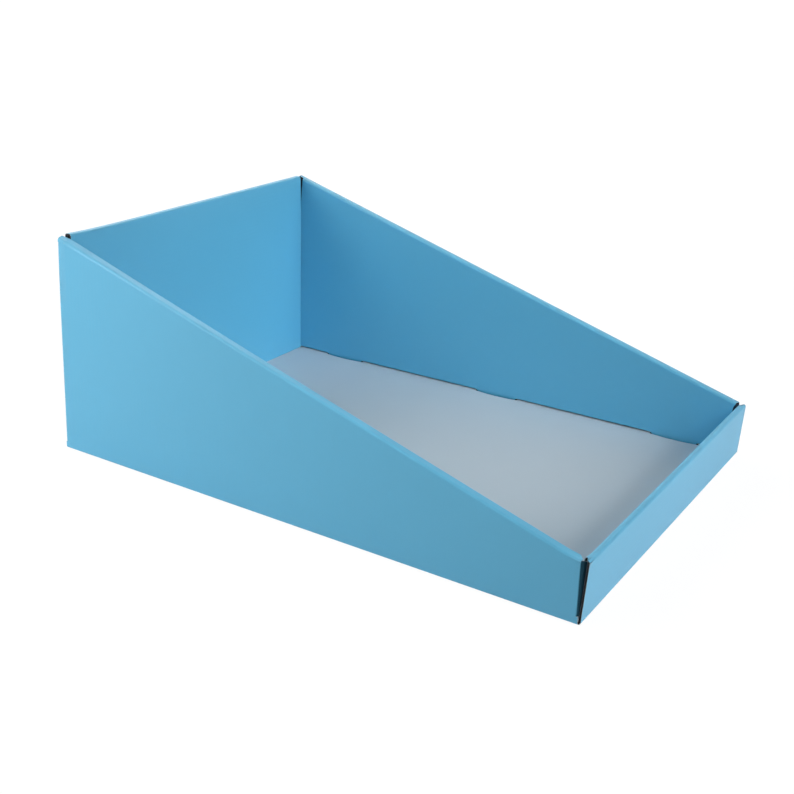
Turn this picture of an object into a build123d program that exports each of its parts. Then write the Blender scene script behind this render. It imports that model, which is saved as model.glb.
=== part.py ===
from build123d import *
import os
from math import atan2, cos, pi, sin, tan

# Counter display tray folded from one die-cut sheet of fluted board.
# Millimetres, +Z up, lip towards -Y, back wall towards +Y.
# The origin is the middle of the tray's outline on the surface it stands on.

# Board
board = 1.5              # thickness of the fluted board
crease_radius = 0.2      # inside radius of every fold

# Tray, outside to outside
tray_length = 400.0      # base fold of the lip to base fold of the back wall
tray_width = 280.0
back_height = 155.0
lip_height = 39.0
lip_lean = 1.8           # the lip's top stands this far ahead of its foot

# Side walls
side_cavity = 3.6        # between the outer and the inner panel
foot_gap = 1.2           # daylight under the inner panel between its tabs
end_gap = 0.4            # inner side panels to the lip and to the ears behind
strip_gap = 1.6          # the rolled strip's front end to the lip
lip_mitre = 2.6          # that end slants back by this
back_mitre = 1.0         # its rear end slants outwards by this
relief_width = 3.3       # cut back at the inner panel's top rear corner
relief_height = 40.0

# Locking tabs of the inner side panels, and their slots in the base
tab_count = 3
tab_margin = 50.0        # middle of the end tabs to the tray's ends
tab_length = 37.0
tab_taper = 3.0          # the tab's free end is shorter by this at each end
tab_round = 1.0
tabs_ahead = 2.8         # the row of tabs sits this far ahead of the tray's middle
tab_recess = 0.2         # tab end above the surface the tray stands on
slot_clearance = 0.3
slot_bow = 1.8           # the slot's inner edge bows away from the tab

# Ears of the side walls, tucked into the lip and the back wall
front_ear_length = 60.0
back_ear_length = 70.0
ear_clearance = 0.1      # ear to the outer panel that covers it
back_play = 0.9          # more room behind that ear in the back wall
ear_foot_gap = 0.3       # ear to the base
front_ear_top_gap = 0.3  # ear to the underside of the rolled top
back_ear_top_gap = 1.6
ear_taper = 6.0          # slant of the ear's top and foot towards its free end
slant_foot = 0.6         # the front ear leaves the side wall on a slant, wider at its top
slant_top = 3.2

# Lip and back wall
lip_inset = 1.15         # the lip's ends to the side walls' outer faces
lip_panel_inset = 4.7    # the same for the inner panel; the rolled strip slants between them
back_inset = 1.9
back_panel_gap = 0.4     # the back wall's inner panel to the inner side panels
back_panel_taper = 1.2   # it is narrower by this at each end of its rolled top
back_taper_height = 30.0
panel_foot_clearance = 0.3

# Rolled tops, outer face to inner face
side_strip = 2 * board + side_cavity
lip_strip = 3 * board + 2 * ear_clearance
back_strip = lip_strip + back_play

# Folds
outer_radius = crease_radius + board
middle_radius = crease_radius + board / 2
fold_leg = 3 * outer_radius
lean_angle = atan2(lip_lean, lip_height)
lip_reach = lip_lean - outer_radius * (cos(lean_angle) + sin(lean_angle) - 1)
slope_angle = atan2(back_height - lip_height, tray_length)

# Places
front_y = -(tray_length - lip_reach) / 2
back_y = front_y + tray_length
half_width = tray_width / 2
wall_line = half_width - board / 2
inner_face_x = half_width - side_strip
side_foot_z = board + foot_gap
above = back_height + board
front_ear_y = front_y + board + ear_clearance
front_ear_top = lip_height - board - front_ear_top_gap
back_ear_y = back_y - board - ear_clearance
back_ear_top = back_height - board - back_ear_top_gap
ear_foot_z = board + ear_foot_gap
panel_rear_y = back_ear_y - board - end_gap


def sheet_section(*points):
    """Section of the board along a centreline whose corners are creases."""
    return trace(FilletPolyline(*points, radius=middle_radius), line_width=board)


def lip_rear_y(height):
    """Y of the lip's inner face at a height."""
    return front_y + lip_strip / cos(lean_angle) - height * tan(lean_angle)


def side_top_z(y):
    """Height of the side walls' sloping top edge at a Y."""
    return lip_height + (y - front_y) * tan(slope_angle)


def front_ear_face_y(height):
    """Y of the front face of the front ear at a height; the ear leans with the lip."""
    return front_ear_y - height * tan(lean_angle)


def ear_slant(height):
    """Width and depth of the slant on which the front ear leaves the side wall."""
    return slant_foot + (slant_top - slant_foot) * height / lip_height


def front_bend_y(height):
    """Y where the flat outer side panel ends and its front bend begins."""
    return front_ear_face_y(height) + board / 2 + ear_slant(height) + middle_radius * tan(pi / 8)


def tab_middle(index):
    """Y of the middle of a tab, counted from the front."""
    pitch = (tray_length - 2 * tab_margin) / (tab_count - 1)
    return (index - (tab_count - 1) / 2) * pitch - tabs_ahead


def tab_slot(middle_y):
    """Slot in the base for one tab, with its inner edge bowed towards the tray's middle."""
    half = tab_length / 2 + slot_clearance
    outer_x = inner_face_x + board + slot_clearance
    inner_x = inner_face_x - slot_clearance
    rear = Line((inner_x, middle_y + half), (outer_x, middle_y + half))
    outside = Line(rear @ 1, (outer_x, middle_y - half))
    front = Line(outside @ 1, (inner_x, middle_y - half))
    bow = ThreePointArc(front @ 1, (inner_x - slot_bow, middle_y), rear @ 0)
    return extrude(make_face([rear, outside, front, bow]), amount=fold_leg, both=True)


def side_fold():
    """Fold between the base and the right-hand outer panel, from ear to ear."""
    section = sheet_section(
        (half_width - fold_leg, board / 2), (wall_line, board / 2), (wall_line, fold_leg)
    )
    return extrude(Plane.XZ.offset(-back_ear_y) * section, amount=back_ear_y - front_ear_y)


def floor_panel():
    """Floor between the lip and the back wall with both side folds, cut through by the tab slots."""
    panel = Box(
        tray_width - 2 * outer_radius,
        tray_length - 2 * outer_radius,
        board,
        align=(Align.CENTER, Align.MIN, Align.MIN),
    )
    right_fold = side_fold()
    floor = Pos(0, front_y + outer_radius, 0) * panel + right_fold + mirror(right_fold, about=Plane.YZ)
    for index in range(tab_count):
        right_slot = tab_slot(tab_middle(index))
        floor -= right_slot
        floor -= mirror(right_slot, about=Plane.YZ)
    return floor


def across_the_tray(*right_points):
    """Solid that spans the tray lengthwise, mirrored from its right-hand outline in X and Z."""
    left_points = [(-x, z) for x, z in reversed(right_points)]
    outline = make_face(Polyline(*right_points, *left_points, close=True))
    return extrude(Plane.XZ * outline, amount=tray_length, both=True)


def rolled_wall(plane, height, strip, lean):
    """Sections of a wall across the tray: base fold, outer panel and rolled strip; inner panel."""
    angle = atan2(lean, height)
    up = Vector(-sin(angle), cos(angle))
    inward = Vector(cos(angle), sin(angle))
    base_end = Vector(fold_leg, board / 2)
    base_fold = inward * (board / 2) + up * (board / 2 * (1 - sin(angle)) / cos(angle))
    top_outer = inward * (board / 2) + up * (height / cos(angle) - board / 2)
    top_inner = top_outer + inward * (strip - board)
    strip_end = top_inner - inward * middle_radius
    foot_z = board + panel_foot_clearance + board / 2 * sin(angle)
    foot = top_inner - up * ((top_inner.Y - foot_z) / cos(angle))
    outer = sheet_section(base_end, base_fold, top_outer, strip_end)
    inner = sheet_section((top_outer + top_inner) / 2, top_inner, foot)
    return (
        extrude(plane * outer, amount=half_width, both=True),
        extrude(plane * inner, amount=half_width, both=True),
    )


def lip():
    """Lip at the front; the ends of its rolled strip slant inwards to the shorter inner panel."""
    plane = Plane(origin=(0, front_y, 0), x_dir=(0, 1, 0), z_dir=(1, 0, 0))
    outer, inner = rolled_wall(plane, lip_height, lip_strip, lip_lean)
    end_x = half_width - lip_inset
    panel_x = half_width - lip_panel_inset
    strip_rear = lip_rear_y(lip_height) - board
    strip_front = strip_rear - (lip_strip - 2 * board)
    clear_rear = strip_rear + fold_leg
    outer &= across_the_tray((end_x, 0), (end_x, above))
    inner &= across_the_tray((panel_x, 0), (panel_x, above))
    corner = Polyline(
        (half_width, strip_front),
        (end_x, strip_front),
        (panel_x, strip_rear),
        (panel_x, clear_rear),
        (half_width, clear_rear),
        close=True,
    )
    slant = Pos(0, 0, front_ear_top) * extrude(make_face(corner), amount=fold_leg)
    return outer + inner - slant - mirror(slant, about=Plane.YZ)


def back_wall():
    """Back wall; its rolled top and inner panel stand between the two side walls."""
    plane = Plane(origin=(0, back_y, 0), x_dir=(0, -1, 0), z_dir=(-1, 0, 0))
    outer, inner = rolled_wall(plane, back_height, back_strip, 0)
    end_x = half_width - back_inset
    panel_x = inner_face_x - back_panel_gap
    roll_x = panel_x - back_panel_taper
    shoulder = back_height - 2 * board
    outer &= across_the_tray((end_x, 0), (end_x, shoulder), (roll_x, shoulder), (roll_x, above))
    inner &= across_the_tray(
        (panel_x, 0), (panel_x, back_height - back_taper_height), (roll_x, back_height), (roll_x, above)
    )
    return outer + inner


def ear_outline(length, top):
    """Upright stretch of one ear, seen from the front, with its slanted top and foot."""
    ear_end = half_width - length
    outline = Polyline(
        (half_width + board, ear_foot_z),
        (half_width + board, top),
        (half_width - outer_radius, top),
        (ear_end, top - ear_taper),
        (ear_end, ear_foot_z + ear_taper),
        (half_width - outer_radius, ear_foot_z),
        close=True,
    )
    return extrude(Plane.XZ * make_face(outline), amount=tray_length, both=True)


def front_ear():
    """Front ear with its bend: it leaves the outer panel on a slant that widens upwards."""
    sections = []
    for height in (0, lip_height):
        y = front_ear_face_y(height) + board / 2
        slant = ear_slant(height)
        section = sheet_section(
            (half_width - front_ear_length, y),
            (wall_line - slant, y),
            (wall_line, y + slant),
            (wall_line, y + slant + fold_leg),
        )
        sections.append(Pos(0, 0, height) * section)
    return loft(sections, ruled=True) & ear_outline(front_ear_length, front_ear_top)


def back_ear():
    """Back ear with its upright bend."""
    y = back_ear_y - board / 2
    section = sheet_section(
        (half_width - back_ear_length, y), (wall_line, y), (wall_line, y - fold_leg)
    )
    return extrude(section, amount=back_height) & ear_outline(back_ear_length, back_ear_top)


def side_hook():
    """Outer panel, rolled strip and inner panel, drawn along the sloping top edge."""
    slope = Vector(0, cos(slope_angle), sin(slope_angle))
    plane = Plane(origin=(0, front_y, lip_height), x_dir=(1, 0, 0), z_dir=slope)
    inner_line = inner_face_x + board / 2
    depth = 2 * back_height
    section = sheet_section(
        (wall_line, depth), (wall_line, board / 2), (inner_line, board / 2), (inner_line, depth)
    )
    return extrude(plane * section, amount=2 * tray_length, both=True)


def outer_panel_outline():
    """Outline of the outer side panel, notched at its top front corner for the lip."""
    lip_stop_y = lip_rear_y(front_ear_top) + end_gap
    strip_front_y = lip_rear_y(lip_height) + strip_gap
    outline = Polyline(
        (front_ear_face_y(0), 0),
        (front_ear_face_y(ear_foot_z), ear_foot_z),
        (front_bend_y(ear_foot_z), ear_foot_z),
        (front_bend_y(front_ear_top), front_ear_top),
        (lip_stop_y, front_ear_top),
        (strip_front_y, side_top_z(strip_front_y)),
        (strip_front_y, above),
        (back_ear_y, above),
        (back_ear_y, back_ear_top),
        (back_ear_y - outer_radius, back_ear_top),
        (back_ear_y - outer_radius, ear_foot_z),
        (back_ear_y, ear_foot_z),
        (back_ear_y, 0),
        close=True,
    )
    return make_face(outline)


def inner_panel_outline():
    """Outline of the inner side panel with its locking tabs, up to the rolled strip."""
    strip_front_y = lip_rear_y(lip_height) + strip_gap + lip_mitre
    outline = Polyline(
        (lip_rear_y(side_foot_z) + end_gap, side_foot_z),
        (strip_front_y, lip_height - outer_radius),
        (strip_front_y, above),
        (panel_rear_y - relief_width, above),
        (panel_rear_y - relief_width, back_height - board),
        (panel_rear_y, back_height - relief_height),
        (panel_rear_y, side_foot_z),
        close=True,
    )
    panel = make_face(outline)
    for index in range(tab_count):
        panel += tab_outline(tab_middle(index))
    return panel


def tab_outline(middle_y):
    """Outline of one locking tab, tapered and rounded towards its free end."""
    half = tab_length / 2
    outline = Polyline(
        (middle_y - half, side_foot_z + board),
        (middle_y - half, side_foot_z),
        (middle_y - half + tab_taper, tab_recess),
        (middle_y + half - tab_taper, tab_recess),
        (middle_y + half, side_foot_z),
        (middle_y + half, side_foot_z + board),
        close=True,
    )
    face = make_face(outline)
    return fillet(face.vertices().group_by(Axis.Y)[0], radius=tab_round)


def strip_outline():
    """Outline from above of the rolled strip between the two panels, slanted at both ends."""
    front = lip_rear_y(lip_height) + strip_gap
    outer_x = half_width - board
    inner_x = inner_face_x + board
    outline = Polyline(
        (outer_x, front),
        (inner_x, front + lip_mitre),
        (inner_x, panel_rear_y - relief_width),
        (inner_x + back_mitre, back_ear_y),
        (outer_x, back_ear_y),
        close=True,
    )
    return make_face(outline)


def side_wall():
    """Right-hand side: outer panel with its two ears, rolled top, inner panel with tabs."""
    hook = side_hook()
    outer_plane = Plane.YZ.offset(half_width - board)
    inner_plane = Plane.YZ.offset(inner_face_x + board)
    outer_panel = hook & extrude(outer_plane * outer_panel_outline(), amount=side_strip)
    inner_panel = hook & extrude(inner_plane * inner_panel_outline(), amount=-side_strip)
    strip = hook & extrude(strip_outline(), amount=above)
    return outer_panel + strip + inner_panel + front_ear() + back_ear()


def end_outline():
    """Outline of the tray seen from the front, with its two base folds rounded."""
    outline = Pos(0, above / 2) * Rectangle(tray_width, above)
    corners = outline.vertices().group_by(Axis.Y)[0]
    return extrude(Plane.XZ * fillet(corners, radius=outer_radius), amount=tray_length, both=True)


def display_tray():
    """The whole folded sheet, as one solid."""
    right_wall = side_wall()
    tray = floor_panel() + right_wall + mirror(right_wall, about=Plane.YZ)
    return (tray + lip() + back_wall()) & end_outline()


os.makedirs("parts", exist_ok=True)
tray = display_tray()
print("solids", len(tray.solids()), "volume", round(tray.volume), "valid", tray.is_valid)
export_step(tray, "parts/display_tray.step")
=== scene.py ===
# Cardboard counter tray, folded from one printed sheet: its finish, its studio and its camera.
import math
from collections import deque

import bmesh
import bpy
from mathutils import Matrix, Vector, geometry, noise
from mathutils.bvhtree import BVHTree


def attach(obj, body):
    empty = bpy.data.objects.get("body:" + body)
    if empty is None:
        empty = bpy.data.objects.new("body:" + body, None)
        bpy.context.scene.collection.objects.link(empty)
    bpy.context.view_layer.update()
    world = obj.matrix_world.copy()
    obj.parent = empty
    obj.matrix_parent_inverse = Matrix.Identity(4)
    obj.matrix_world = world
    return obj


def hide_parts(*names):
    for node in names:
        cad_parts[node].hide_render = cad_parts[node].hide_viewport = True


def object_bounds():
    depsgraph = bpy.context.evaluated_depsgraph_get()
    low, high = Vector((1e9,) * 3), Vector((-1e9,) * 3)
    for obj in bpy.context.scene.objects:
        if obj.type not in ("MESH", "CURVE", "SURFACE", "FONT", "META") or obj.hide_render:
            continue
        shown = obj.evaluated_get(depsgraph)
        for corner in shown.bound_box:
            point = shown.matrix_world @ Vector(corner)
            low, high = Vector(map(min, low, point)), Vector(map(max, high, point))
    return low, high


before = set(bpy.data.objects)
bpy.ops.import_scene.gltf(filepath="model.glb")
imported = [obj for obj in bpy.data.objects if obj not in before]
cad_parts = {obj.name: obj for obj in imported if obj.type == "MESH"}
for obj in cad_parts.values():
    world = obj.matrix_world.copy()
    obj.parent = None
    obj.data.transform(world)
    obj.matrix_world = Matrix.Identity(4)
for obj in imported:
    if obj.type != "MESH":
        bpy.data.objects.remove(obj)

cadLow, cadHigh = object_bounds()
mm = 0.001

# Camera, read off the photograph's edges: degrees, millimetres and pixels of its 794 x 794 frame
cameraSetup = {
    "azimuth": -56.99,
    "elevation": 20.43,
    "roll": 1.36,
    "distance": 857.5,
    "aside": -23.6,
    "above": 62.2,
    "aimAhead": 0.85,
    "focalPixels": 1177.8,
    "axisPixel": (373, 365),
    "framePixels": 794,
    "sensor": 36.0,
}


def makeCamera(setup):
    azimuth, elevation, roll = (math.radians(setup[k]) for k in ("azimuth", "elevation", "roll"))
    backward = Vector((
        math.sin(azimuth) * math.cos(elevation),
        -math.cos(azimuth) * math.cos(elevation),
        math.sin(elevation),
    ))
    level = Vector((math.cos(azimuth), math.sin(azimuth), 0))
    upright = backward.cross(level)
    right = level * math.cos(roll) + upright * math.sin(roll)
    up = upright * math.cos(roll) - level * math.sin(roll)
    middle = (cadLow + cadHigh) / 2
    aim = Vector((middle.x, middle.y + setup["aimAhead"] * mm, cadLow.z))
    place = aim + (backward * setup["distance"] + right * setup["aside"] + up * setup["above"]) * mm
    data = bpy.data.cameras.new("counterCamera")
    data.sensor_width = setup["sensor"]
    data.lens = setup["focalPixels"] / setup["framePixels"] * setup["sensor"]
    half = setup["framePixels"] / 2
    data.shift_x = (half - setup["axisPixel"][0]) / setup["framePixels"]
    data.shift_y = (setup["axisPixel"][1] - half) / setup["framePixels"]
    data.clip_start, data.clip_end = 0.05, 500
    camera = bpy.data.objects.new("counterCamera", data)
    camera.matrix_world = Matrix((right, up, backward)).transposed().to_4x4()
    camera.location = place
    bpy.context.scene.collection.objects.link(camera)
    bpy.context.scene.camera = camera


# Small helpers for building node materials

def newMaterial(name):
    material = bpy.data.materials.new(name)
    material.use_nodes = True
    material.node_tree.nodes.clear()
    return material, material.node_tree


def addNode(tree, kind, settings=None, inputs=None):
    node = tree.nodes.new(kind)
    for key, value in (settings or {}).items():
        setattr(node, key, value)
    for key, value in (inputs or {}).items():
        if isinstance(value, bpy.types.NodeSocket):
            tree.links.new(value, node.inputs[key])
        else:
            node.inputs[key].default_value = value
    return node


def maths(tree, operation, *values):
    node = addNode(tree, "ShaderNodeMath", {"operation": operation})
    for socket, value in zip(node.inputs, values):
        if isinstance(value, bpy.types.NodeSocket):
            tree.links.new(value, socket)
        else:
            socket.default_value = value
    return node.outputs[0]


def ramp(tree, value, low, high):
    node = addNode(tree, "ShaderNodeMapRange", {"interpolation_type": "SMOOTHSTEP"}, {
        "Value": value, "From Min": low, "From Max": high,
    })
    return node.outputs["Result"]


def noiseOf(tree, where, scale, detail):
    return addNode(tree, "ShaderNodeTexNoise", inputs={
        "Vector": where, "Scale": scale, "Detail": detail,
    }).outputs["Fac"]


def bumpOf(tree, height):
    bump = addNode(tree, "ShaderNodeBump", inputs={"Height": height, "Distance": 1.0, "Strength": 1.0})
    return bump.outputs["Normal"]


def pointValue(tree, name):
    return addNode(tree, "ShaderNodeAttribute", {"attribute_name": name}).outputs["Fac"]


def mixColours(tree, share, first, second):
    node = addNode(tree, "ShaderNodeMix", {"data_type": "RGBA"})
    tree.links.new(share, node.inputs[0])
    for socket, value in ((node.inputs[6], first), (node.inputs[7], second)):
        if isinstance(value, bpy.types.NodeSocket):
            tree.links.new(value, socket)
        else:
            socket.default_value = (*value, 1)
    return node.outputs[2]


# Printed face: blue print under a thin gloss film
printedFace = {
    "blue": (0.127, 0.472, 0.702),
    "blueDeeper": (0.116, 0.452, 0.675),
    "patches": 9.0,                     # noise scale of the print's uneven tone
    # the next colour, and the lower sheen further down, are painted shade on the bends where the front
    # ears leave the walls
    "paintedFoldShade": (0.010, 0.055, 0.085),   # where the front ears are bent off the walls
    "roughness": 0.42,
    "sheen": 0.4,
    "paintedFoldShadeSheen": 0.08,
    "filmWeight": 0.05,
    "filmRoughness": 0.3,
    "flutePitch": 3.3 * mm,
    "washboard": 0.022 * mm,            # height of the flutes' ridges through the liner
    "bands": 45.0,                      # noise scale of the stretches where they show
    "bandEdges": (0.35, 0.7),
    "cockle": 0.16 * mm,                # height and noise scale of shallow dents
    "dents": 28.0,
    "grain": 0.010 * mm,
    "specks": 900.0,
}


def makePrintedFace(look):
    material, tree = newMaterial("glossPrintedBlue")
    where = addNode(tree, "ShaderNodeTexCoord").outputs["Object"]
    colour = mixColours(tree, noiseOf(tree, where, look["patches"], 3.0), look["blueDeeper"], look["blue"])
    # painted shade on the front ears' bends: a near-black colour, less sheen and no film
    paintedFoldShade = pointValue(tree, "paintedFoldShade")
    lostSheen = look["paintedFoldShadeSheen"] - look["sheen"]

    run = pointValue(tree, "acrossFlutes")
    wave = maths(tree, "SINE", maths(tree, "MULTIPLY", run, 2 * math.pi / look["flutePitch"]))
    strength = ramp(tree, noiseOf(tree, where, look["bands"], 2.0), *look["bandEdges"])
    height = maths(tree, "MULTIPLY", maths(tree, "MULTIPLY", wave, strength), look["washboard"])
    specks = noiseOf(tree, where, look["specks"], 2.0)
    height = maths(tree, "MULTIPLY_ADD", specks, look["grain"], height)
    dents = noiseOf(tree, where, look["dents"], 3.0)
    height = maths(tree, "MULTIPLY_ADD", dents, look["cockle"], height)

    surface = addNode(tree, "ShaderNodeBsdfPrincipled", inputs={
        "Base Color": mixColours(tree, paintedFoldShade, colour, look["paintedFoldShade"]),
        "Roughness": look["roughness"],
        "Specular IOR Level": maths(tree, "MULTIPLY_ADD", paintedFoldShade, lostSheen, look["sheen"]),
        "Coat Weight": maths(tree, "MULTIPLY_ADD", paintedFoldShade, -look["filmWeight"], look["filmWeight"]),
        "Coat Roughness": look["filmRoughness"],
        "Normal": bumpOf(tree, height),
    })
    addNode(tree, "ShaderNodeOutputMaterial", inputs={"Surface": surface.outputs[0]})
    return material


# Bare face: unprinted pale liner, as on the floor of the tray
bareFace = {
    "paper": (0.580, 0.665, 0.720),
    "paperDarker": (0.545, 0.630, 0.685),
    "roughness": 0.75,
    "sheen": 0.25,
    "clouds": 30.0,                 # noise scale of the paper's uneven tone
    "fibre": 0.02 * mm,             # height and noise scale of its fibres
    "strands": 500.0,
    "squeeze": (1.0, 4.0, 1.0),     # they lie along X
}

# The same liner inside the double walls, seen through the small holes at their corners, darkened as
# painted shade
paintedShadeLiner = bareFace | {
    "paper": (0.10, 0.12, 0.14),
    "paperDarker": (0.08, 0.10, 0.12),
    "roughness": 0.85,
}


def makeBareFace(look, name):
    material, tree = newMaterial(name)
    where = addNode(tree, "ShaderNodeTexCoord").outputs["Object"]
    clouds = noiseOf(tree, where, look["clouds"], 6.0)
    stretched = addNode(tree, "ShaderNodeMapping", inputs={"Vector": where, "Scale": look["squeeze"]})
    strands = noiseOf(tree, stretched.outputs[0], look["strands"], 3.0)
    share = maths(tree, "MULTIPLY", clouds, strands)
    surface = addNode(tree, "ShaderNodeBsdfPrincipled", inputs={
        "Base Color": mixColours(tree, share, look["paperDarker"], look["paper"]),
        "Roughness": look["roughness"],
        "Specular IOR Level": look["sheen"],
        "Normal": bumpOf(tree, maths(tree, "MULTIPLY", strands, look["fibre"])),
    })
    addNode(tree, "ShaderNodeOutputMaterial", inputs={"Surface": surface.outputs[0]})
    return material


# Cut edges: cream board where the cut runs along the flutes; where it runs across them, open flutes
# between two thin liners, the flutes and the inner liner darkened as painted shade
cutEdge = {
    "board": (0.50, 0.48, 0.42),
    "liner": (0.36, 0.44, 0.48),
    "innerLinerPaintedShade": (0.07, 0.08, 0.09),
    "hollowPaintedShade": (0.010, 0.011, 0.013),
    "flutePaintedShade": (0.030, 0.032, 0.036),
    "linerShare": 0.15,         # of the board's thickness, and the share of that which is crisp
    "linerCrisp": 0.7,
    "waveShare": 0.34,          # how far the fluting swings from the board's middle
    "waveEdges": (0.112, 0.056),
    "roughness": 0.85,
    "sheen": 0.2,
}


def makeCutFace(look, name, showsFlutes):
    material, tree = newMaterial(name)
    surface = addNode(tree, "ShaderNodeBsdfPrincipled", inputs={
        "Base Color": openFlutes(tree, look) if showsFlutes else (*look["board"], 1),
        "Roughness": look["roughness"],
        "Specular IOR Level": look["sheen"],
    })
    addNode(tree, "ShaderNodeOutputMaterial", inputs={"Surface": surface.outputs[0]})
    return material


def openFlutes(tree, look):
    run = pointValue(tree, "acrossFlutes")
    depth = pointValue(tree, "plyDepth")
    wave = maths(tree, "SINE", maths(tree, "MULTIPLY", run, 2 * math.pi / printedFace["flutePitch"]))
    middle = maths(tree, "MULTIPLY_ADD", wave, look["waveShare"], 0.5)
    fromWave = maths(tree, "ABSOLUTE", maths(tree, "SUBTRACT", depth, middle))
    crisp = look["linerShare"] * look["linerCrisp"]
    fluting = ramp(tree, fromWave, *look["waveEdges"])
    outer = ramp(tree, depth, look["linerShare"], crisp)
    inner = ramp(tree, depth, 1 - look["linerShare"], 1 - crisp)
    # painted shade: near-black hollows and fluting, and a near-black inner liner
    inside = mixColours(tree, fluting, look["hollowPaintedShade"], look["flutePaintedShade"])
    inside = mixColours(tree, inner, inside, look["innerLinerPaintedShade"])
    return mixColours(tree, outer, inside, look["liner"])


# The folded tray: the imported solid's own faces, cut into a fine grid and eased as board settles
foldedTray = {
    "node": "display_tray",
    "slot": "printed_board",
    "board": 1.5 * mm,          # thickness of the sheet
    "lipHeight": 39 * mm,
    "stripWidth": 6.6 * mm,     # of the side walls' rolled tops
    "weld": 1e-6,               # points closer than this are one
    "gridWeld": 4e-6,
    "gridStep": 8 * mm,
    "foldAngle": 30,            # faces that meet at less than this are one side of the sheet
    "flatAngle": 0.05,
    "level": 0.99,              # a face with more of its normal upright than this is level
    "justInside": 0.01 * mm,    # a ray from here into the board
    "throughBoard": 1.5,        # leaves it within this many thicknesses

    # where the surface changes its finish
    "facing": 0.7,              # a cut faces along an axis from this share of its normal on
    # bare faces inside the double walls get the dark liner of painted shade
    "levelFrom": 0.5,           # bare faces steeper than this lie inside the double walls
    "pressedEnds": 8 * mm,      # the cut ends this near the rear are pressed shut, below the roll
    "stripEndFrom": 0.8,        # the left strip's front end lies above this share of the lip
    "endDepth": 7 * mm,         # within this of front and rear, the flutes run across the walls
    "earDepth": 10 * mm,        # the front ears are bent off the walls within this of the front
    "earUpright": 0.3,
    # the painted shade on the ear's bend grows and fades over these turns of its normal
    "offTheWall": (0.99, 0.77), # the bend darkens from here to there as it leaves the wall
    "ontoTheEar": (0.97, 0.87), # and clears again towards the flat of the ear

    # how the board has settled: lengths, and powers that say how sharply each one fades
    "leftLean": 3.3 * mm,       # how far the wall tops lean inwards, at the back wall's height
    "rightLean": 0.6 * mm,
    "backLean": 1.05 * mm,
    "unevenness": 0.35 * mm,    # the side walls bow inwards by up to this
    "unevenScale": 9.0,
    "bowFrom": 0.25,            # in full from this share of the height
    "rightRise": 0.7 * mm,      # the right wall stands this much higher, and its foot does at the front
    "rearDropLeft": 0.3 * mm,   # the base sags at its rear corners
    "rearDropRight": 1.2 * mm,

    "sideFade": 12,             # what follows is the left wall's own, and fades to its right
    "leftSag": 1.7 * mm,        # its top sags by this towards the front
    "sagStart": 6 * mm,         # from the lip's face to where the sag begins
    "sagRun": 8 * mm,
    "leftPush": 2.2 * mm,       # its rear edge stands back by this
    "leftPushTop": 1.0 * mm,    # and by this at its top
    "pushFade": (6, 8),         # below the top, and ahead of the rear edge
    "twistRear": 1.8 * mm,      # its inner edge rides up at the rear
    "twistFade": 6,
    "twistMiddle": -0.5 * mm,   # and down halfway along

    "lipRear": 5.0 * mm,        # from the lip's face to its rear, at the top
    "gapBehind": 1.65 * mm,     # from there to the side walls' strips
    "reachLeft": (3.2 * mm, 1.6 * mm),   # the strips' outer and inner edges reach forward
    "reachRight": (1.6 * mm, 3.8 * mm),  # by this towards the lip
    "reachRun": 60 * mm,
    "topFade": 8,
    "droop": 2.0 * mm,          # the left strip is pressed down at its front end
    "droopRun": 10 * mm,
    "earTop": 37.35 * mm,       # the ears end below this
    "earLift": 1.2 * mm,        # the left ear rides up in the lip
    "earFade": 4,
    "cornerLift": 1.2 * mm,     # the lip's left end and the ear in it stand up by this
    "cornerReach": 14 * mm,
}

# One material for each kind of surface, in the order of the mesh's slots
surfaceKinds = ("print", "liner", "cutAlongFlutes", "cutAcrossFlutesPaintedShade", "linerInsidePaintedShade")


def clamp(value):
    return min(1, max(0, value))


def shareBetween(value, start, end):
    return clamp((start - value) / (start - end))


# The faces joined to the first one over folds gentler than the limit
def sideOfSheet(seed, limit):
    found = {seed}
    queue = deque(found)
    while queue:
        for edge in queue.popleft().edges:
            if edge.calc_face_angle(math.pi) < limit:
                for face in edge.link_faces:
                    if face not in found:
                        found.add(face)
                        queue.append(face)
    return found


def largestFacing(mesh, up, level):
    return max((f for f in mesh.faces if f.normal.z * up > level), key=lambda f: f.calc_area())


# Of these faces, the ones with a single thickness of board behind them
def onOneBoard(mesh, faces, setup):
    solid = BVHTree.FromBMesh(mesh)
    largest = {}
    for corners in mesh.calc_loop_triangles():
        face = corners[0].face
        points = [corner.vert.co for corner in corners]
        area = geometry.area_tri(*points)
        if face in faces and area > largest.get(face, (0, None))[0]:
            largest[face] = (area, sum(points, Vector()) / 3)
    skin = set()
    for face, (area, middle) in largest.items():
        start = middle - face.normal * setup["justInside"]
        exitPoint = solid.ray_cast(start, -face.normal, setup["throughBoard"] * setup["board"])[0]
        if exitPoint is not None:
            skin.add(face)
    return skin


def kindOf(face, printed, bare, setup):
    turnX, turnY, turnZ = (abs(part) for part in face.normal)
    middle = face.calc_center_median()
    if face in printed:
        return "print"
    if face in bare:
        return "liner" if turnZ > setup["levelFrom"] else "linerInsidePaintedShade"
    fromTop, fromRear = cadHigh.z - middle.z, cadHigh.y - middle.y
    if turnX > setup["facing"] and fromTop > setup["pressedEnds"] > fromRear:
        return "print"
    # cut ends facing front or rear are cream only at the left strip's front end; the others, the right
    # strip's end among them, take the dark open-flute finish as painted shade
    stripEndFrom = cadLow.z + setup["lipHeight"] * setup["stripEndFrom"]
    atStripEnd = middle.x < 0 and middle.z > stripEndFrom
    return "cutAlongFlutes" if turnY > setup["facing"] and atStripEnd else "cutAcrossFlutesPaintedShade"


# Painted shade on the bend between a side wall and its front ear, on the side wall's outer face: how much
# of it each face gets
def paintedFoldShadeOf(face, setup):
    turnX, turnY, turnZ = (abs(part) for part in face.normal)
    middle = face.calc_center_median()
    facesOut = middle.x * face.normal.x >= 0
    if turnZ > setup["earUpright"] or middle.y > cadLow.y + setup["earDepth"] or not facesOut:
        return 0.0
    return shareBetween(turnX, *setup["offTheWall"]) * shareBetween(turnY, *setup["ontoTheEar"])


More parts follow.
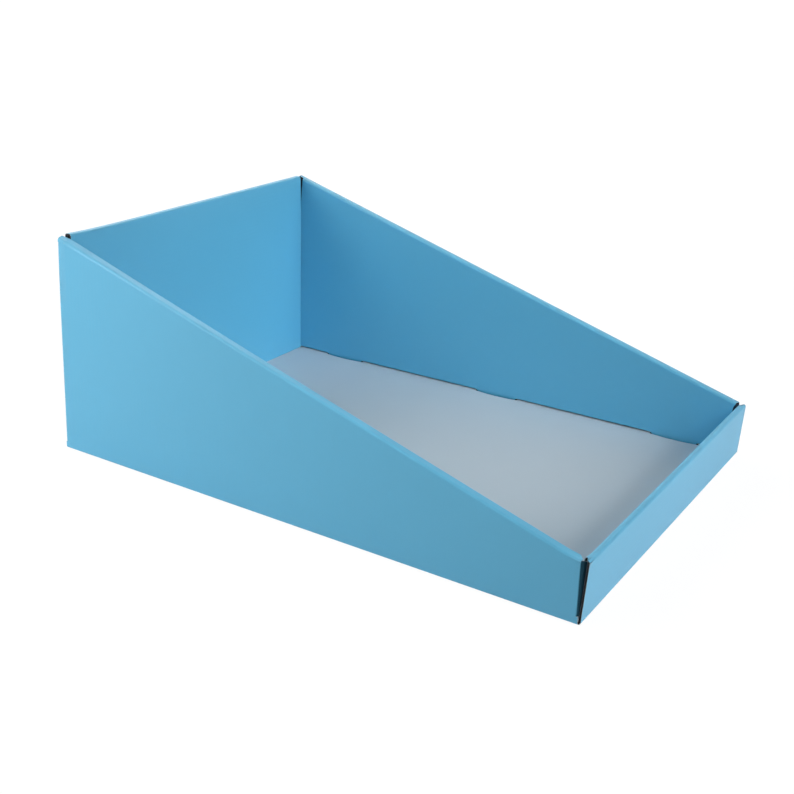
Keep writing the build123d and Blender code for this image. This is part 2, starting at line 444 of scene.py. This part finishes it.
def cutIntoGrid(mesh, setup):
    for axis in range(3):
        normal = Vector(1.0 if i == axis else 0.0 for i in range(3))
        length = cadHigh[axis] - cadLow[axis]
        count = int(length / setup["gridStep"])
        for index in range(1, count + 1):
            point = cadLow.copy()
            point[axis] += index * length / (count + 1)
            bmesh.ops.bisect_plane(
                mesh, geom=mesh.verts[:] + mesh.edges[:] + mesh.faces[:],
                dist=setup["weld"], plane_co=point, plane_no=normal,
            )
    bmesh.ops.remove_doubles(mesh, verts=mesh.verts, dist=setup["gridWeld"])
    bmesh.ops.dissolve_degenerate(mesh, dist=setup["gridWeld"] / 2, edges=mesh.edges)


def settle(point, setup):
    size = cadHigh - cadLow
    fromLeft, fromRight = point.x - cadLow.x, cadHigh.x - point.x
    fromFront, height = point.y - cadLow.y, point.z - cadLow.z
    across, along, rise = fromLeft / size.x, fromFront / size.y, height / size.z
    lipHeight = setup["lipHeight"]
    slope = (size.z - lipHeight) / size.y
    climb = min(1, height / (lipHeight + (size.z - lipHeight) * along))  # 1 at the walls' tops
    inwards = min(1, min(fromLeft, fromRight) / setup["stripWidth"])
    nearLeft = (1 - across) ** setup["sideFade"]
    behindLip = clamp((fromFront - setup["sagStart"]) / setup["sagRun"])

    # the whole tray leans, bows and sags
    uneven = 0.5 + 0.5 * noise.noise(point * setup["unevenScale"])
    bow = setup["unevenness"] * uneven * min(1, rise / setup["bowFrom"])
    lean = rise * (setup["leftLean"] * (1 - across) - setup["rightLean"] * across)
    rightRise = setup["rightRise"] * across * (climb + (1 - climb) * (1 - along))
    rearDrop = setup["rearDropLeft"] + (setup["rearDropRight"] - setup["rearDropLeft"]) * across
    rearDrop *= along * (1 - climb)

    # the left wall's top sags, twists and stands back
    sag = setup["leftSag"] * (1 - along) * nearLeft * behindLip
    twist = setup["twistRear"] * along ** setup["twistFade"]
    twist += setup["twistMiddle"] * 4 * along * (1 - along)
    twist *= nearLeft * inwards * behindLip
    belowTop, aheadOfRear = setup["pushFade"]
    push = setup["leftPush"] + (setup["leftPushTop"] - setup["leftPush"]) * climb ** belowTop
    push *= nearLeft * along ** aheadOfRear

    # the front corners close up
    fromLip = fromFront - setup["lipRear"]
    pastGap = clamp(fromLip / setup["gapBehind"])
    nearLip = pastGap * max(0, 1 - fromLip / setup["reachRun"]) * climb ** setup["topFade"]
    leftReach, rightReach = (
        outer + (inner - outer) * inwards for outer, inner in (setup["reachLeft"], setup["reachRight"])
    )
    reach = (leftReach + (rightReach - leftReach) * across) * nearLip
    droop = setup["droop"] * max(0, 1 - fromLip / setup["droopRun"]) * nearLip * nearLeft
    corner = max(0, 1 - fromLeft / setup["cornerReach"]) * (1 - behindLip)
    lift = climb * setup["cornerLift"] * corner
    if height < setup["earTop"]:
        lift += setup["earLift"] * corner * climb ** setup["earFade"] * (1 - pastGap)

    point.x += lean - bow * (2 * across - 1)
    point.y += push - reach - rise * setup["backLean"] * along
    point.z += rightRise - rearDrop + climb * (twist - sag) + lift - droop - reach * slope


# Print or liner at the surface, the distance across the flutes, and the painted shade on the front ears'
# bends
def markPoints(mesh, setup):
    depth, run, paintedFoldShade = (
        mesh.verts.layers.float.new(name) for name in ("plyDepth", "acrossFlutes", "paintedFoldShade")
    )
    for vert in mesh.verts:
        kinds = {surfaceKinds[face.material_index] for face in vert.link_faces}
        vert[paintedFoldShade] = max(paintedFoldShadeOf(face, setup) for face in vert.link_faces)
        vert[depth] = 0.0 if "print" in kinds else 1.0 if kinds & {"liner", "linerInsidePaintedShade"} else 0.5
        fromEnd = min(vert.co.y - cadLow.y, cadHigh.y - vert.co.y)
        upTheWall = math.copysign(vert.co.z, vert.co.y) if fromEnd < setup["endDepth"] else 0.0
        vert[run] = vert.co.y + upTheWall


def foldTray(setup):
    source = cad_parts[setup["node"]]
    mesh = bmesh.new()
    mesh.from_mesh(source.data)
    bmesh.ops.remove_doubles(mesh, verts=mesh.verts, dist=setup["weld"])
    flat = math.radians(setup["flatAngle"])
    bmesh.ops.dissolve_limit(mesh, angle_limit=flat, verts=mesh.verts, edges=mesh.edges)
    mesh.normal_update()
    fold = math.radians(setup["foldAngle"])
    under, above = (largestFacing(mesh, up, setup["level"]) for up in (-1, 1))
    printed = onOneBoard(mesh, sideOfSheet(under, fold), setup)
    bare = onOneBoard(mesh, sideOfSheet(above, fold), setup)
    for face in mesh.faces:
        face.material_index = surfaceKinds.index(kindOf(face, printed, bare, setup))
        face.smooth = True
    for edge in mesh.edges:
        edge.smooth = edge.calc_face_angle(math.pi) < fold
    cutIntoGrid(mesh, setup)
    markPoints(mesh, setup)
    for vert in mesh.verts:
        settle(vert.co, setup)
    data = bpy.data.meshes.new("foldedTray")
    mesh.to_mesh(data)
    mesh.free()
    piece = bpy.data.objects.new("foldedTray", data)
    bpy.context.scene.collection.objects.link(piece)
    materials = {
        "print": makePrintedFace(printedFace),
        "liner": makeBareFace(bareFace, "unprintedLiner"),
        "cutAlongFlutes": makeCutFace(cutEdge, "boardCutAlongFlutes", False),
        "cutAcrossFlutesPaintedShade": makeCutFace(cutEdge, "boardCutAcrossFlutesPaintedShade", True),
        "linerInsidePaintedShade": makeBareFace(paintedShadeLiner, "linerPaintedShadeInsideWalls"),
    }
    for kind in surfaceKinds:
        data.materials.append(materials[kind])
    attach(piece, "root")
    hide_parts(setup["node"])
    print("foldedTray:", len(data.vertices), "vertices,", len(data.polygons), "faces")


# Studio: a pale floor, a white surround and soft lamps
studio = {
    "floorSize": 80.0,
    "sink": 1.3 * mm,           # the floor lies this far under the tray's lowest packed point
    "floorColour": (0.9, 0.9, 0.9),
    "whiteShare": 0.9,          # how much of the seen floor beside the tray is plain white
    "whiteLevel": 1.06,
    "underTray": (134 * mm, 192 * mm),  # half width and length of the plain patch under the tray
    "whiteFrom": 0.5,           # metres from the tray's middle where the floor starts to run into white
    "whiteTo": 1.4,
}

# Place and size in metres, watts. A lamp faces the tray's middle unless it has an aim of its own
softLamps = {
    "lampFront": {
        "place": (0.0, -1.8, 0.8), "size": 1.0, "watts": 18.4, "tint": (0.95, 1.0, 1.04),
    },
    "lampFrontFar": {"place": (-0.9, -3.4, 1.2), "size": 2.0, "watts": 2.8},
    "lampRear": {"place": (0.0, 1.8, 1.2), "size": 1.0, "watts": 13.9},
    "lampRearFar": {"place": (0.5, 2.6, 2.2), "size": 2.0, "watts": 15.0},
    "lampRight": {"place": (1.2, 1.2, 1.2), "size": 1.0, "watts": 9.0},
    "lampLeftRear": {"place": (-1.5, 0.9, 1.2), "size": 1.0, "watts": 9.4},
    "lampLeftNear": {"place": (-0.45, 0.35, 0.25), "size": 0.2, "watts": 0.72},
    "lampCorner": {
        "place": (-0.5, -0.9, 0.9), "size": 0.4, "watts": 0.25, "aim": (0.11, 0.17, 0.0), "spread": 25,
    },
}


# 1 on rays from the camera and on those that glossy or clear surfaces send on
def seenDirectly(tree):
    path = addNode(tree, "ShaderNodeLightPath")
    either = maths(tree, "MAXIMUM", path.outputs["Is Camera Ray"], path.outputs["Is Glossy Ray"])
    return maths(tree, "MAXIMUM", either, path.outputs["Is Transmission Ray"])


def makeSurround():
    world = bpy.data.worlds.new("whiteSurround")
    bpy.context.scene.world = world
    world.use_nodes = True
    tree = world.node_tree
    tree.nodes.clear()
    sky = addNode(tree, "ShaderNodeBackground", inputs={
        "Color": (1, 1, 1, 1), "Strength": seenDirectly(tree),
    })
    addNode(tree, "ShaderNodeOutputWorld", inputs={"Surface": sky.outputs[0]})


def makeFloor(setup):
    half = setup["floorSize"] / 2
    level = cadLow.z - setup["sink"]
    corners = [(x * half, y * half, level) for x, y in ((-1, -1), (1, -1), (1, 1), (-1, 1))]
    data = bpy.data.meshes.new("floor")
    data.from_pydata(corners, [], [(0, 1, 2, 3)])
    floor = bpy.data.objects.new("floor", data)
    bpy.context.scene.collection.objects.link(floor)
    data.materials.append(makeFloorFace(setup))


# Matte floor under the tray; beside it, what the camera sees runs into white with the distance
def makeFloorFace(setup):
    material, tree = newMaterial("paleFloor")
    matte = addNode(tree, "ShaderNodeBsdfDiffuse", inputs={"Color": (*setup["floorColour"], 1)})
    white = addNode(tree, "ShaderNodeEmission", inputs={
        "Color": (1, 1, 1, 1), "Strength": setup["whiteLevel"],
    })
    where = addNode(tree, "ShaderNodeTexCoord").outputs["Object"]
    reach = addNode(tree, "ShaderNodeVectorMath", {"operation": "LENGTH"}, {0: where}).outputs["Value"]
    farOff = ramp(tree, reach, setup["whiteFrom"], setup["whiteTo"])
    share = maths(tree, "MULTIPLY_ADD", farOff, 1 - setup["whiteShare"], setup["whiteShare"])
    places = addNode(tree, "ShaderNodeSeparateXYZ", inputs={0: where}).outputs
    besideX, besideY = (
        maths(tree, "GREATER_THAN", maths(tree, "ABSOLUTE", places[i]), setup["underTray"][i])
        for i in (0, 1)
    )
    share = maths(tree, "MULTIPLY", share, maths(tree, "MAXIMUM", besideX, besideY))
    share = maths(tree, "MULTIPLY", seenDirectly(tree), share)
    mixed = addNode(tree, "ShaderNodeMixShader", inputs={
        0: share, 1: matte.outputs[0], 2: white.outputs[0],
    })
    addNode(tree, "ShaderNodeOutputMaterial", inputs={"Surface": mixed.outputs[0]})
    return material


def makeLamp(name, look):
    data = bpy.data.lights.new(name, "AREA")
    data.size = look["size"]
    data.energy = look["watts"]
    data.color = look.get("tint", (1, 1, 1))
    data.spread = math.radians(look.get("spread", 180))
    lamp = bpy.data.objects.new(name, data)
    lamp.location = look["place"]
    aim = Vector(look["aim"]) if "aim" in look else (cadLow + cadHigh) / 2
    lamp.visible_camera = False
    lamp.rotation_mode = "QUATERNION"
    lamp.rotation_quaternion = (aim - lamp.location).to_track_quat("-Z", "Y")
    bpy.context.scene.collection.objects.link(lamp)


makeCamera(cameraSetup)
print("camera ready")
foldTray(foldedTray)
makeSurround()
makeFloor(studio)
for lampName, lampLook in softLamps.items():
    makeLamp(lampName, lampLook)
print("studio ready:", len(softLamps), "lamps")

bpy.context.scene.view_settings.view_transform = "Standard"
bpy.context.view_layer.update()
